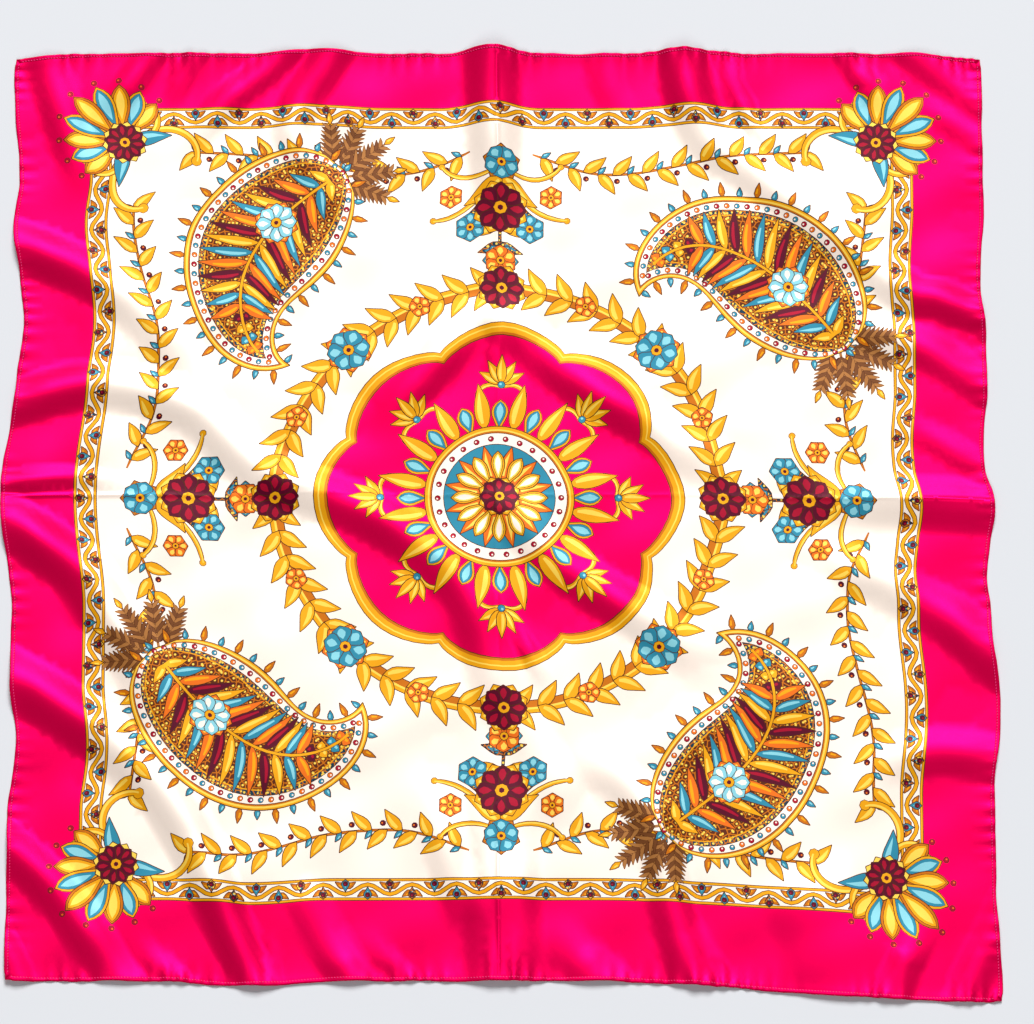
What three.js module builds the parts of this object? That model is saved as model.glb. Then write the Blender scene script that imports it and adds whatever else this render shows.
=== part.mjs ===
import * as THREE from 'three';

// A silk square scarf laid out on a table: one square of satin with its four edges turned and stitched.
// Millimetres, +Z up, +X to the right, +Y away from the viewer. The origin is on the table, in the
// middle of the laid scarf. The cloth touches the table wherever no fold lifts it.

// Driving dimensions
// the laid cloth's straight sides, inside the hem, from the point that the folds are placed from
const laid = { left: -440, right: 442, front: -429.5, back: 447.5 };
const wall = 1.2;            // cloth thickness of this model; the silk itself is about 0.15
const hemWidth = 3.6;        // turned and stitched edge
const hemHeight = 1.9;       // three layers of cloth, rolled
const hemRound = 0.6;        // how far the hem's outer edge rounds in
const seamGap = 0.3;         // between the cloth and its hem
const mitreGap = 0.46;       // how far each end of a hem stops short of the corner's diagonal
const squares = 53;          // cells of the cloth along each side
const pathSteps = 8;         // short straight steps between two points of a fold's crest

// Colours
const pink = new THREE.Color(0.86, 0.01, 0.27);
const hemPink = new THREE.Color(0.74, 0.01, 0.22);

// Where a side of the laid scarf swings out (+) or in (-) from its straight line:
// place along the side, how far it swings, and half the length of that swing
const swings = {
  left: [
    { at: 430, out: 7, reach: 110 },
    { at: 285, out: 5, reach: 45 },
    { at: 190, out: -6, reach: 60 },
    { at: 25, out: 12, reach: 110 },
    { at: -215, out: -6, reach: 60 },
  ],
  right: [
    { at: 240, out: -4, reach: 60 },
    { at: 75, out: -4, reach: 50 },
    { at: 15, out: 5, reach: 35 },
    { at: -45, out: -3, reach: 30 },
    { at: -170, out: 7, reach: 80 },
    { at: -420, out: 4, reach: 90 },
  ],
  back: [
    { at: -440, out: -5, reach: 60 },
    { at: -170, out: 4, reach: 60 },
    { at: -8, out: 6, reach: 45 },
    { at: 175, out: 4, reach: 55 },
    { at: 440, out: -5, reach: 60 },
  ],
  front: [
    { at: -225, out: 5, reach: 75 },
    { at: 440, out: 19, reach: 360 },
  ],
};

// The folds: crest points from one end to the other, height at its start, middle and end,
// and half the width of the fold at its start and end
const folds = [
  { name: 'left, upper',
    crest: [[-457, 268], [-415, 252], [-375, 233], [-335, 203], [-293, 157], [-250, 114]],
    high: [8, 6, 0], wide: [28, 26] },
  { name: 'long fold through the middle',
    crest: [[-456, 108], [-371, 128], [-284, 106], [-218, 47], [-105, -3], [-31, -69], [5, -171], [67, -279],
      [94, -316]],
    high: [7, 6, 0], wide: [26, 30] },
  { name: 'left, lower',
    crest: [[-456, 2], [-419, -22], [-382, -51], [-356, -90], [-326, -141], [-303, -201], [-270, -265]],
    high: [10, 8, 0], wide: [30, 28] },
  { name: 'left side to front edge',
    crest: [[-453, -145], [-380, -190], [-305, -257], [-260, -340], [-243, -380], [-226, -420], [-210, -455]],
    high: [9, 8, 5.6], wide: [32, 20] },
  { name: 'front left', crest: [[-450, -303], [-409, -338], [-375, -380], [-348, -420], [-328, -455]],
    high: [7, 5, 2.4], wide: [25, 24] },
  { name: 'front left corner', crest: [[-462, -378], [-441, -408], [-424, -449]],
    high: [4, 4, 3], wide: [18, 18] },
  { name: 'front edge, left', crest: [[-172, -360], [-150, -405], [-140, -420], [-130, -435], [-118, -456]],
    high: [2, 3.8, 3], wide: [24, 20] },
  { name: 'front, left of the crease', crest: [[-58, -246], [-49, -302], [-36, -353], [-14, -400]],
    high: [0, 4, 0], wide: [26, 22] },
  { name: 'front crease', crest: [[4, -455], [3, -385], [2, -311], [-1, -227]],
    high: [4.6, 5, 0], wide: [38, 34] },
  { name: 'front edge, right of the crease',
    crest: [[34, -370], [65, -405], [80, -420], [100, -440], [112, -458]],
    high: [0, 3.6, 3.4], wide: [26, 28] },
  { name: 'front, right of the crease',
    crest: [[54, -204], [90, -235], [128, -267], [146, -312], [154, -365], [168, -412], [186, -458]],
    high: [0, 5.4, 5.4], wide: [24, 25] },
  { name: 'front right', crest: [[265, -320], [280, -357], [297, -404], [310, -455]],
    high: [0, 4.5, 4.2], wide: [50, 50] },
  { name: 'front edge, right', crest: [[386, -368], [368, -405], [360, -420], [350, -456]],
    high: [0, 3.8, 3.4], wide: [22, 20] },
  { name: 'front right corner', crest: [[456, -360], [440, -396], [428, -420], [412, -456]],
    high: [3, 4, 3.4], wide: [22, 22] },
  { name: 'right, under the long one', crest: [[303, 186], [348, 177], [394, 160], [452, 122]],
    high: [0, 3.6, 3.8], wide: [22, 24] },
  { name: 'right crease', crest: [[461, 12], [392, 15], [328, 18], [255, 23]],
    high: [7, 5.6, 0], wide: [32, 27] },
  { name: 'right, middle',
    crest: [[246, -10], [300, -35], [345, -60], [390, -83], [424, -107], [460, -138]],
    high: [0, 4, 7.6], wide: [22, 32] },
  { name: 'right, lower', crest: [[316, -239], [361, -226], [402, -219], [458, -229]],
    high: [0, 3.4, 4.2], wide: [24, 28] },
  { name: 'back left corner', crest: [[-425, 453], [-410, 405], [-393, 355], [-370, 308]],
    high: [4, 4, 0], wide: [24, 24] },
  { name: 'back edge, left', crest: [[-318, 460], [-335, 435], [-345, 420], [-357, 402], [-376, 368]],
    high: [2.8, 2.8, 0], wide: [18, 18] },
  { name: 'back edge, nearer the crease',
    crest: [[-196, 458], [-218, 435], [-236, 420], [-253, 405], [-280, 372], [-300, 340]],
    high: [3.6, 3.8, 0], wide: [20, 19] },
  { name: 'back, left of the crease',
    crest: [[-152, 462], [-166, 435], [-176, 420], [-186, 402], [-190, 370], [-160, 317], [-118, 274]],
    high: [5.2, 4.2, 0], wide: [24, 22] },
  { name: 'back crease', crest: [[-8, 465], [-7, 406], [-4, 337], [-2, 250]],
    high: [11, 8, 0], wide: [28, 24] },
  { name: 'back edge to right side',
    crest: [[168, 469], [172, 425], [180, 395], [198, 362], [276, 302], [367, 223], [404, 210], [455, 190]],
    high: [10, 4.5, 6.8], wide: [27, 22] },
  { name: 'back right corner', crest: [[364, 467], [403, 435], [440, 404], [465, 390]],
    high: [3, 3, 3], wide: [22, 22] },
  { name: 'middle, right', crest: [[5, 10], [51, -38], [87, -66], [127, -92], [172, -126], [205, -165]],
    high: [3, 6, 0], wide: [26, 28] },
  { name: 'middle, upper left', crest: [[-26, 193], [-55, 154], [-92, 112], [-121, 71]],
    high: [2, 5, 0], wide: [26, 26] },
  { name: 'middle, upper right',
    crest: [[1, 193], [45, 152], [86, 122], [135, 91], [187, 54], [237, 37]],
    high: [3, 6, 0], wide: [26, 28] },
];

// A bump that is 1 in the middle, falls smoothly and is 0 from its reach outward
function softBump(distance, reach) {
  const q = Math.min(1, Math.abs(distance) / reach);
  return (1 - q * q) ** 2;
}

function swingOut(side, at) {
  return swings[side].reduce((sum, swing) => sum + swing.out * softBump(at - swing.at, swing.reach), 0);
}

// The smooth line through a fold's crest points, as short straight steps
function crestLine(points) {
  const places = points.map(([x, y]) => new THREE.Vector3(x, y, 0));
  const curve = new THREE.CatmullRomCurve3(places, false, 'catmullrom', 0.5);
  const steps = (points.length - 1) * pathSteps;
  return Array.from({ length: steps + 1 }, (_, i) => curve.getPoint(i / steps));
}

// The value on the way from start through middle to end, with soft changes
function along([start, middle, end], t) {
  const firstHalf = t < 0.5;
  const ease = THREE.MathUtils.smoothstep(firstHalf ? 2 * t : 2 * t - 1, 0, 1);
  return firstHalf ? THREE.MathUtils.lerp(start, middle, ease) : THREE.MathUtils.lerp(middle, end, ease);
}

const foldLines = folds.map((fold) => ({ ...fold, line: crestLine(fold.crest) }));

// How far one fold lifts the cloth at a place
function foldLift(fold, place) {
  const { line } = fold;
  let nearest = Infinity;
  let where = 0;
  const step = new THREE.Line3();
  const foot = new THREE.Vector3();
  for (let i = 0; i < line.length - 1; i += 1) {
    step.set(line[i], line[i + 1]);
    const part = step.closestPointToPointParameter(place, true);
    const distance = step.at(part, foot).distanceTo(place);
    if (distance < nearest) {
      nearest = distance;
      where = (i + part) / (line.length - 1);
    }
  }
  const reach = THREE.MathUtils.lerp(fold.wide[0], fold.wide[1], where);
  return along(fold.high, where) * softBump(nearest, reach);
}

function lift(x, y) {
  const place = new THREE.Vector3(x, y, 0);
  return foldLines.reduce((sum, fold) => sum + foldLift(fold, place), 0);
}

// The underside of the cloth at s, t, each from 0 to 1 from the front left corner
function clothPoint(s, t) {
  const straightX = THREE.MathUtils.lerp(laid.left, laid.right, s);
  const straightY = THREE.MathUtils.lerp(laid.front, laid.back, t);
  const x = straightX - swingOut('left', straightY) * (1 - s) ** 2 + swingOut('right', straightY) * s ** 2;
  const y = straightY - swingOut('front', straightX) * (1 - t) ** 2 + swingOut('back', straightX) * t ** 2;
  return new THREE.Vector3(x, y, lift(x, y));
}

function solid(vertices, triangles) {
  const geometry = new THREE.BufferGeometry();
  const numbers = vertices.flatMap((v) => [v.x, v.y, v.z]);
  geometry.setAttribute('position', new THREE.Float32BufferAttribute(numbers, 3));
  geometry.setIndex(triangles.flat());
  geometry.computeVertexNormals();
  return geometry;
}

// The cloth: its underside points on a grid, and the same points moved up by the wall
const under = [];
for (let j = 0; j <= squares; j += 1) {
  for (let i = 0; i <= squares; i += 1) {
    under.push(clothPoint(i / squares, j / squares));
  }
}
const at = (i, j) => j * (squares + 1) + i;

// The edge of the grid as one ring, counter-clockwise from the front left corner
const sides = ['front', 'right', 'back', 'left'].map((name) => ({ name, ring: [] }));
for (let k = 0; k <= squares; k += 1) {
  sides[0].ring.push(at(k, 0));
  sides[1].ring.push(at(squares, k));
  sides[2].ring.push(at(squares - k, squares));
  sides[3].ring.push(at(0, squares - k));
}

function clothSolid() {
  const top = under.map((v) => new THREE.Vector3(v.x, v.y, v.z + wall));
  const up = under.length;
  const triangles = [];
  for (let j = 0; j < squares; j += 1) {
    for (let i = 0; i < squares; i += 1) {
      const [a, b, c, d] = [at(i, j), at(i + 1, j), at(i + 1, j + 1), at(i, j + 1)];
      // each cell folds along its more level diagonal, so crests stay even
      const levelAC = Math.abs(under[a].z - under[c].z) <= Math.abs(under[b].z - under[d].z);
      const halves = levelAC ? [[a, b, c], [a, c, d]] : [[a, b, d], [b, c, d]];
      for (const [p, q, r] of halves) {
        triangles.push([p + up, q + up, r + up], [p, r, q]);
      }
    }
  }
  for (const { ring } of sides) {
    for (let k = 0; k < squares; k += 1) {
      const [p, q] = [ring[k], ring[k + 1]];
      triangles.push([p, q, q + up], [p, q + up, p + up]);
    }
  }
  return solid([...under, ...top], triangles);
}

// A hem: a rolled section carried along one side, from the cloth's own edge points moved out.
// Its ends are mitred and stop short of the corner's diagonal, so two hems stay apart at each corner.
const hemOuter = seamGap + hemWidth;
const hemSection = [
  { out: seamGap, up: 0 },
  { out: hemOuter - hemRound, up: 0 },
  { out: hemOuter, up: hemHeight / 2 },
  { out: hemOuter - hemRound, up: hemHeight },
  { out: seamGap, up: hemHeight },
];

function hemSolid(ring) {
  const last = ring.length - 1;
  const corners = hemSection.length;
  const vertices = [];
  ring.forEach((index, k) => {
    const before = under[ring[Math.max(0, k - 1)]];
    const after = under[ring[Math.min(last, k + 1)]];
    const run = new THREE.Vector3(after.x - before.x, after.y - before.y, 0).normalize();
    const outward = new THREE.Vector3(run.y, -run.x, 0);
    const endwise = k === 0 ? -1 : Number(k === last);
    for (const { out, up } of hemSection) {
      const mitre = endwise * (out - mitreGap);
      vertices.push(under[index].clone().addScaledVector(outward, out).addScaledVector(run, mitre)
        .add(new THREE.Vector3(0, 0, up)));
    }
  });
  const triangles = [];
  for (let k = 0; k < last; k += 1) {
    for (let c = 0; c < corners; c += 1) {
      const [p, q] = [k * corners + c, k * corners + ((c + 1) % corners)];
      triangles.push([p, p + corners, q + corners], [p, q + corners, q]);
    }
  }
  const end = last * corners;
  for (let c = 1; c < corners - 1; c += 1) {
    triangles.push([0, c, c + 1], [end, end + c + 1, end + c]);
  }
  return solid(vertices, triangles);
}

function piece(name, geometry, color, roughness) {
  const mesh = new THREE.Mesh(geometry, new THREE.MeshStandardMaterial({ color, roughness, metalness: 0 }));
  mesh.name = name;
  return mesh;
}

const scarf = new THREE.Group();
scarf.add(piece('silk_square', clothSolid(), pink, 0.32));
for (const { name, ring } of sides) {
  scarf.add(piece(`hem_${name}`, hemSolid(ring), hemPink, 0.38));
}

// the origin is under the middle of the laid scarf
const middle = new THREE.Box3().setFromObject(scarf).getCenter(new THREE.Vector3());
scarf.position.set(-middle.x, -middle.y, 0);

export default scarf;
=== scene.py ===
import bpy
import math
import numpy as np
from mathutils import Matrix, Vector
from mathutils.bvhtree import BVHTree
from mathutils.geometry import delaunay_2d_cdt


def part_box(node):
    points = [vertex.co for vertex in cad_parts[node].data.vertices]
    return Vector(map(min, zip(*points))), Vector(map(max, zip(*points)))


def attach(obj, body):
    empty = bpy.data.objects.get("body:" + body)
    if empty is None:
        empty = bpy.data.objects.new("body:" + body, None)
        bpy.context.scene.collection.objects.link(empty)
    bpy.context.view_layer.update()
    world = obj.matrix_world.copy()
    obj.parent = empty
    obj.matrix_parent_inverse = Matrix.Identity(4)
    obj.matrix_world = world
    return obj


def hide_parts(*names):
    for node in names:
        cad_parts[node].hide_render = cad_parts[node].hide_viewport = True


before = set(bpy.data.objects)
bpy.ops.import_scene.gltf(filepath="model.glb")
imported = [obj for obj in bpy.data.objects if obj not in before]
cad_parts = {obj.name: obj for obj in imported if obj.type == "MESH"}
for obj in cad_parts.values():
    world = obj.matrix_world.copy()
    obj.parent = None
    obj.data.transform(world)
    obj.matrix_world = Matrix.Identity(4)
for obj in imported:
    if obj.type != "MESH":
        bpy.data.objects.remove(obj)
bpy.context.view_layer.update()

mm = 0.001

# The laid cloth between its hems, in millimetres from the point that the folds are placed from
laid = dict(left=-440.0, right=442.0, front=-429.5, back=447.5)
swings = dict(  # place along the side, how far it swings out, half the length of the swing
    left=[(430, 7, 110), (285, 5, 45), (190, -6, 60), (25, 12, 110), (-215, -6, 60)],
    right=[(240, -4, 60), (75, -4, 50), (15, 5, 35), (-45, -3, 30), (-170, 7, 80), (-420, 4, 90)],
    back=[(-440, -5, 60), (-170, 4, 60), (-8, 6, 45), (175, 4, 55), (440, -5, 60)],
    front=[(-225, 5, 75), (440, 19, 360)],
)
cloth = dict(
    finished=910.0,     # one side of the hemmed square, ironed flat
    face=902.0,         # one side of the cloth between its hems
    thick=0.45,         # a little over the real silk, so that the shell stays clear of itself
    under=0.12,         # how far the underside stays off the table
    lattice=8.0,        # spacing of the points between the lines of the print
    hemLattice=4.2,     # the same within reach of the hems
    hemReach=15.0,
    clear=2.4,          # no lattice point this close to a line of the print
    cornerPull=0.9,     # how far each corner is rounded in, and how far from it that starts
    cornerReach=7.0,
    rim=3.4,            # spacing of the points on the edge
    creaseStep=4.6,     # spacing along the creases, and the rows of points beside them
    creaseRows=(0.0, -0.9, 0.9, -2.2, 2.2, -4.2, 4.2),
    backLattice=(8.4, 20.0),  # spacing on the underside, on its folds and between them
    backLongest=8.0,    # longest edge between two dyes on the underside
    backReach=4.8,      # the underside is as low as the face gets within this reach
)
half = cloth["face"] / 2


def softBump(distance, reach):
    q = np.minimum(1.0, np.abs(distance) / reach)
    return (1 - q * q) ** 2


def sharpBump(distance, reach):
    return (1 - np.minimum(1.0, np.abs(distance) / reach)) ** 2


def swingOut(side, at):
    return sum(out * softBump(at - middle, reach) for middle, out, reach in swings[side])


# A point of the ironed cloth, put where it lies, without its folds
def laidPoint(a, b, pull=cloth["cornerPull"]):
    s = a / cloth["face"] + 0.5
    t = b / cloth["face"] + 0.5
    straightX = laid["left"] + (laid["right"] - laid["left"]) * s
    straightY = laid["front"] + (laid["back"] - laid["front"]) * t
    x = straightX - swingOut("left", straightY) * (1 - s) ** 2 + swingOut("right", straightY) * s ** 2
    y = straightY - swingOut("front", straightX) * (1 - t) ** 2 + swingOut("back", straightX) * t ** 2
    rounded = pull * softBump(np.hypot(half - np.abs(a), half - np.abs(b)), cloth["cornerReach"])
    return x - rounded * np.sign(a), y - rounded * np.sign(b)


sideRun, sideEnd = np.linspace(-half, half, 800), np.full(800, half)
sides = [laidPoint(a, b, 0) for a, b in ((sideRun, -sideEnd), (sideRun, sideEnd), (-sideEnd, sideRun),
                                         (sideEnd, sideRun))]
sideX = np.concatenate([x for x, y in sides])
sideY = np.concatenate([y for x, y in sides])
clothLow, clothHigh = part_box("silk_square")
shiftX = (clothLow.x + clothHigh.x) / 2 / mm - (sideX.min() + sideX.max()) / 2  # onto the CAD's own middle
shiftY = (clothLow.y + clothHigh.y) / 2 / mm - (sideY.min() + sideY.max()) / 2
print(f"cloth placed, shifted by {shiftX:.2f} and {shiftY:.2f} mm")

view = dict(tilt=17.0, distance=7.0, lens=267.4, aim=(15.2, 6.7))
aim = Vector((view["aim"][0] + shiftX, view["aim"][1] + shiftY, 0)) * mm
tilt = math.radians(view["tilt"])
bpy.ops.object.camera_add(location=aim + view["distance"] * Vector((0, -math.sin(tilt), math.cos(tilt))),
                          rotation=(tilt, 0, 0))
camera = bpy.context.object
camera.name = "photoView"
camera.data.lens = view["lens"]
camera.data.clip_end = 60
bpy.context.scene.camera = camera
print("camera set")

# The folds: crest points, height at start, middle and end, half width at start and end, how sharp
# the crest is, and half the width of a flat crest
folds = [
    # along the left side
    dict(crest=[(-457, 268), (-415, 252), (-375, 233), (-335, 203), (-293, 157), (-250, 114)],
         high=(8, 6, 0), wide=(28, 26)),
    dict(crest=[(-456, 108), (-371, 128), (-284, 106), (-218, 47), (-105, -3), (-31, -69), (5, -171),
                (67, -279), (94, -316)], high=(7, 6, 0), wide=(26, 30)),
    dict(crest=[(-462, 33), (-429, 36), (-384, 39), (-329, 32)], high=(5, 3, 0), wide=(13, 13)),
    dict(crest=[(-456, 2), (-419, -22), (-382, -51), (-356, -90), (-326, -141), (-303, -201),
                (-270, -265)], high=(10, 8, 0), wide=(30, 28)),
    dict(crest=[(-453, -145), (-380, -190), (-305, -257), (-260, -340), (-243, -380), (-226, -420),
                (-210, -455)], high=(9, 8, 5.6), wide=(32, 20)),
    dict(crest=[(-450, -303), (-409, -338), (-375, -380), (-348, -420), (-328, -455)],
         high=(7, 5, 2.4), wide=(25, 24)),
    # along the front
    dict(crest=[(-462, -378), (-441, -408), (-424, -449)], high=(4, 4, 3), wide=(18, 18)),
    dict(crest=[(-334, -380), (-310, -412), (-284, -435), (-268, -455)], high=(0, 2, 2), wide=(16, 14)),
    dict(crest=[(-206, -380), (-203, -420), (-198, -455)], high=(0, 1.3, 1.3), wide=(9, 9)),
    dict(crest=[(-172, -360), (-150, -405), (-140, -420), (-130, -435), (-118, -456)],
         high=(2, 3.8, 3.0), wide=(24, 20)),
    dict(crest=[(-124, -380), (-108, -405), (-92, -420), (-80, -435), (-66, -456)],
         high=(0, 1.6, 1.6), wide=(15, 13)),
    dict(crest=[(-58, -246), (-49, -302), (-36, -353), (-14, -400)], high=(0, 4, 0), wide=(26, 22)),
    dict(crest=[(4, -455), (3, -385), (2, -311), (-1, -227)], high=(4.6, 5, 0), wide=(30, 26), flat=11),
    dict(crest=[(-8, -456), (-7, -420), (-7, -375)], high=(1.1, 1.1, 0), wide=(8, 8)),
    dict(crest=[(11, -456), (12, -420), (11, -375)], high=(1.1, 1.1, 0), wide=(8, 8)),
    dict(crest=[(34, -370), (65, -405), (80, -420), (100, -440), (112, -458)],
         high=(0, 3.6, 3.4), wide=(26, 28)),
    dict(crest=[(54, -204), (90, -235), (128, -267), (146, -312), (154, -365), (168, -412), (186, -458)],
         high=(0, 5.4, 5.4), wide=(24, 25)),
    dict(crest=[(176, -375), (190, -405), (197, -420), (210, -456)], high=(0, 1.4, 1.6), wide=(10, 10)),
    dict(crest=[(265, -320), (280, -357), (297, -404), (310, -455)], high=(0, 4.5, 4.2), wide=(50, 50)),
    dict(crest=[(386, -368), (368, -405), (360, -420), (350, -456)], high=(0, 3.8, 3.4), wide=(22, 20)),
    dict(crest=[(456, -360), (440, -396), (428, -420), (412, -456)], high=(3, 4, 3.4), wide=(22, 22)),
    # along the right side
    dict(crest=[(303, 186), (348, 177), (394, 160), (452, 122)], high=(0, 3.6, 3.8), wide=(22, 24)),
    dict(crest=[(356, 97), (402, 73), (449, 41)], high=(0, 2, 2), wide=(18, 18)),
    dict(crest=[(461, 12), (392, 15), (328, 18), (255, 23)], high=(7, 5.6, 0), wide=(32, 27), sharp=0.3),
    dict(crest=[(246, -10), (300, -35), (345, -60), (390, -83), (424, -107), (460, -138)],
         high=(0, 4.0, 7.6), wide=(22, 32)),
    dict(crest=[(316, -239), (361, -226), (402, -219), (458, -229)], high=(0, 3.4, 4.2), wide=(24, 28)),
    # along the back
    dict(crest=[(-425, 453), (-410, 405), (-393, 355), (-370, 308)], high=(4, 4, 0), wide=(24, 24)),
    dict(crest=[(-318, 460), (-335, 435), (-345, 420), (-357, 402), (-376, 368)],
         high=(2.8, 2.8, 0), wide=(18, 18)),
    dict(crest=[(-283, 458), (-296, 425), (-310, 390)], high=(2.2, 2.2, 0), wide=(16, 14)),
    dict(crest=[(-196, 458), (-218, 435), (-236, 420), (-253, 405), (-280, 372), (-300, 340)],
         high=(3.6, 3.8, 0), wide=(20, 19)),
    dict(crest=[(-152, 462), (-166, 435), (-176, 420), (-186, 402), (-190, 370), (-160, 317), (-118, 274)],
         high=(5.2, 4.2, 0), wide=(24, 22)),
    dict(crest=[(-8, 465), (-7, 406), (-4, 337), (-2, 250)], high=(9, 7, 0), wide=(32, 26)),
    dict(crest=[(92, 462), (96, 435), (104, 405), (116, 372)], high=(1.8, 2, 0), wide=(22, 18)),
    dict(crest=[(168, 469), (172, 425), (180, 395), (198, 362), (276, 302), (367, 223), (404, 210),
                (455, 190)], high=(8.8, 4.5, 6.4), wide=(29, 22)),
    dict(crest=[(206, 455), (218, 415), (232, 385), (252, 352)], high=(1.2, 2.6, 0), wide=(14, 13)),
    dict(crest=[(318, 460), (330, 435), (342, 418), (358, 385)], high=(2, 2.8, 0), wide=(16, 15)),
    dict(crest=[(364, 467), (403, 435), (440, 404), (465, 390)], high=(3, 3, 3), wide=(22, 22)),
    dict(crest=[(384, 414), (421, 382), (457, 357)], high=(0, 2, 2), wide=(18, 18)),
    # in the middle
    dict(crest=[(5, 10), (51, -38), (87, -66), (127, -92), (172, -126), (205, -165)],
         high=(3, 6, 0), wide=(26, 28)),
    dict(crest=[(-26, 193), (-55, 154), (-92, 112), (-121, 71)], high=(2, 5, 0), wide=(26, 26)),
    dict(crest=[(1, 193), (45, 152), (86, 122), (135, 91), (187, 54), (237, 37)],
         high=(3, 6, 0), wide=(26, 28)),
    dict(crest=[(8, -82), (24, -122), (44, -162)], high=(0, 2, 0), wide=(12, 12)),
    dict(crest=[(-2, 202), (-6, 122)], high=(0, 2, 0), wide=(12, 12)),
]
surface = dict(
    pathSteps=8,
    ridge=0.9, ridgeHalf=4.5,         # the two creases of the cloth once folded in four
    ridgeInner=0.2,                   # how much of them is left in the middle
    ridgeAcross=14.0, ridgeDown=-3.0, # where they run, on the ironed cloth
    sidePucker=0.4, endPucker=0.8, puckerWave=14.0, puckerFade=8.0,  # along the hems
    endRest=1.0, sideRest=0.85, restReach=30.0,  # how much of a fold is left at the hems
    wave=0.7, waves=10, seed=7,       # broad unevenness
)
chance = np.random.default_rng(surface["seed"])
waveTable = [(math.tau / chance.uniform(60, 170), chance.uniform(0, math.tau), chance.uniform(0, math.tau))
             for k in range(surface["waves"])]


def splineThrough(points, steps):
    p = np.array(points, float)
    p = np.vstack([2 * p[0] - p[1], p, 2 * p[-1] - p[-2]])
    line = []
    for k in range(1, len(p) - 2):
        for t in np.arange(steps) / steps:
            a, b, c, d = p[k - 1:k + 3]
            line.append(0.5 * (2 * b + (c - a) * t + (2 * a - 5 * b + 4 * c - d) * t * t
                               + (3 * b - a - 3 * c + d) * t ** 3))
    line.append(p[-2])
    return np.array(line)


def smooth(t):
    t = np.clip(t, 0, 1)
    return t * t * (3 - 2 * t)


def foldLift(fold, x, y):
    line, flat = fold["line"], fold.get("flat", 0)
    reach = max(fold["wide"]) + flat
    near = ((x > line[:, 0].min() - reach) & (x < line[:, 0].max() + reach)
            & (y > line[:, 1].min() - reach) & (y < line[:, 1].max() + reach))
    px, py = x[near], y[near]
    best = np.full(px.shape, 1e9)
    where = np.zeros(px.shape)
    for i in range(len(line) - 1):
        a, d = line[i], line[i + 1] - line[i]
        part = np.clip(((px - a[0]) * d[0] + (py - a[1]) * d[1]) / (d @ d), 0, 1)
        distance = np.hypot(px - a[0] - part * d[0], py - a[1] - part * d[1])
        closer = distance < best
        best[closer] = distance[closer]
        where[closer] = (i + part[closer]) / (len(line) - 1)
    start, middle, end = fold["high"]
    rise = np.where(where < 0.5, start + (middle - start) * smooth(2 * where),
                    middle + (end - middle) * smooth(2 * where - 1))
    width = fold["wide"][0] + (fold["wide"][1] - fold["wide"][0]) * where
    best = np.maximum(0, best - flat)
    sharp = fold.get("sharp", 0)
    lifted = np.zeros(x.shape)
    lifted[near] = rise * ((1 - sharp) * softBump(best, width) + sharp * sharpBump(best, width))
    return lifted


for fold in folds:
    fold["line"] = splineThrough(fold["crest"], surface["pathSteps"])


# How much of a fold is left near the hems, which lie flatter than the rest
def hemRest(a, b):
    ends, sides = surface["endRest"], surface["sideRest"]
    atEnds = ends + (1 - ends) * smooth((half - np.abs(b)) / surface["restReach"])
    return atEnds * (sides + (1 - sides) * smooth((half - np.abs(a)) / surface["restReach"]))


# Height of the ironed point (a, b) over the table, once it lies at (x, y)
def clothLift(a, b, x, y, fine=True):
    high = sum(foldLift(fold, x, y) for fold in folds)
    waves = sum(np.cos(k * (x * math.cos(turn) + y * math.sin(turn)) + phase)
                for k, turn, phase in waveTable)
    high = high + surface["wave"] * np.maximum(0, 1 + waves / math.sqrt(surface["waves"]))
    if not fine:
        return high * hemRest(a, b)
    left = surface["ridgeInner"]
    high = high + surface["ridge"] * ((left + (1 - left) * smooth((np.abs(a) - 230) / 160))
                                      * sharpBump(b - surface["ridgeAcross"], surface["ridgeHalf"]))
    high = high + surface["ridge"] * ((left + (1 - left) * smooth((np.abs(b) - 230) / 160))
                                      * sharpBump(a - surface["ridgeDown"], surface["ridgeHalf"]))
    high = high * hemRest(a, b)
    for edge, along, pucker in ((half - np.abs(a), b, surface["sidePucker"]),
                                (half - np.abs(b), a, surface["endPucker"])):
        run = math.tau * along / surface["puckerWave"] + 2.1 * np.sin(along / 37) + 1.3 * np.sin(along / 17)
        strength = 0.5 + 0.5 * np.sin(along / 23 + 1.7 * np.sin(along / 61))
        fade = np.exp(-np.maximum(edge, 0) / surface["puckerFade"])
        high = high + pucker * (1 + strength * np.cos(run)) * fade
    return high


def clothPoint(a, b):
    x, y = laidPoint(a, b)
    return np.stack([x + shiftX, y + shiftY, clothLift(a, b, x, y) + cloth["under"]], 1)


# The underside has no creases, and stays below the face between its own points
def underPoint(a, b):
    x, y = laidPoint(a, b)
    low = clothLift(a, b, x, y, False)
    for turn in np.arange(8) * math.tau / 8:
        nearA, nearB = a + cloth["backReach"] * math.cos(turn), b + cloth["backReach"] * math.sin(turn)
        low = np.minimum(low, clothLift(nearA, nearB, *laidPoint(nearA, nearB), False))
    return np.stack([x + shiftX, y + shiftY, low + cloth["under"]], 1)


def clothNormal(a, b, step=0.6):
    along = clothPoint(a + step, b) - clothPoint(a - step, b)
    across = clothPoint(a, b + step) - clothPoint(a, b - step)
    normal = np.cross(along, across)
    return normal / np.linalg.norm(normal, axis=1)[:, None]


print(len(folds), "folds laid out")

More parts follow.
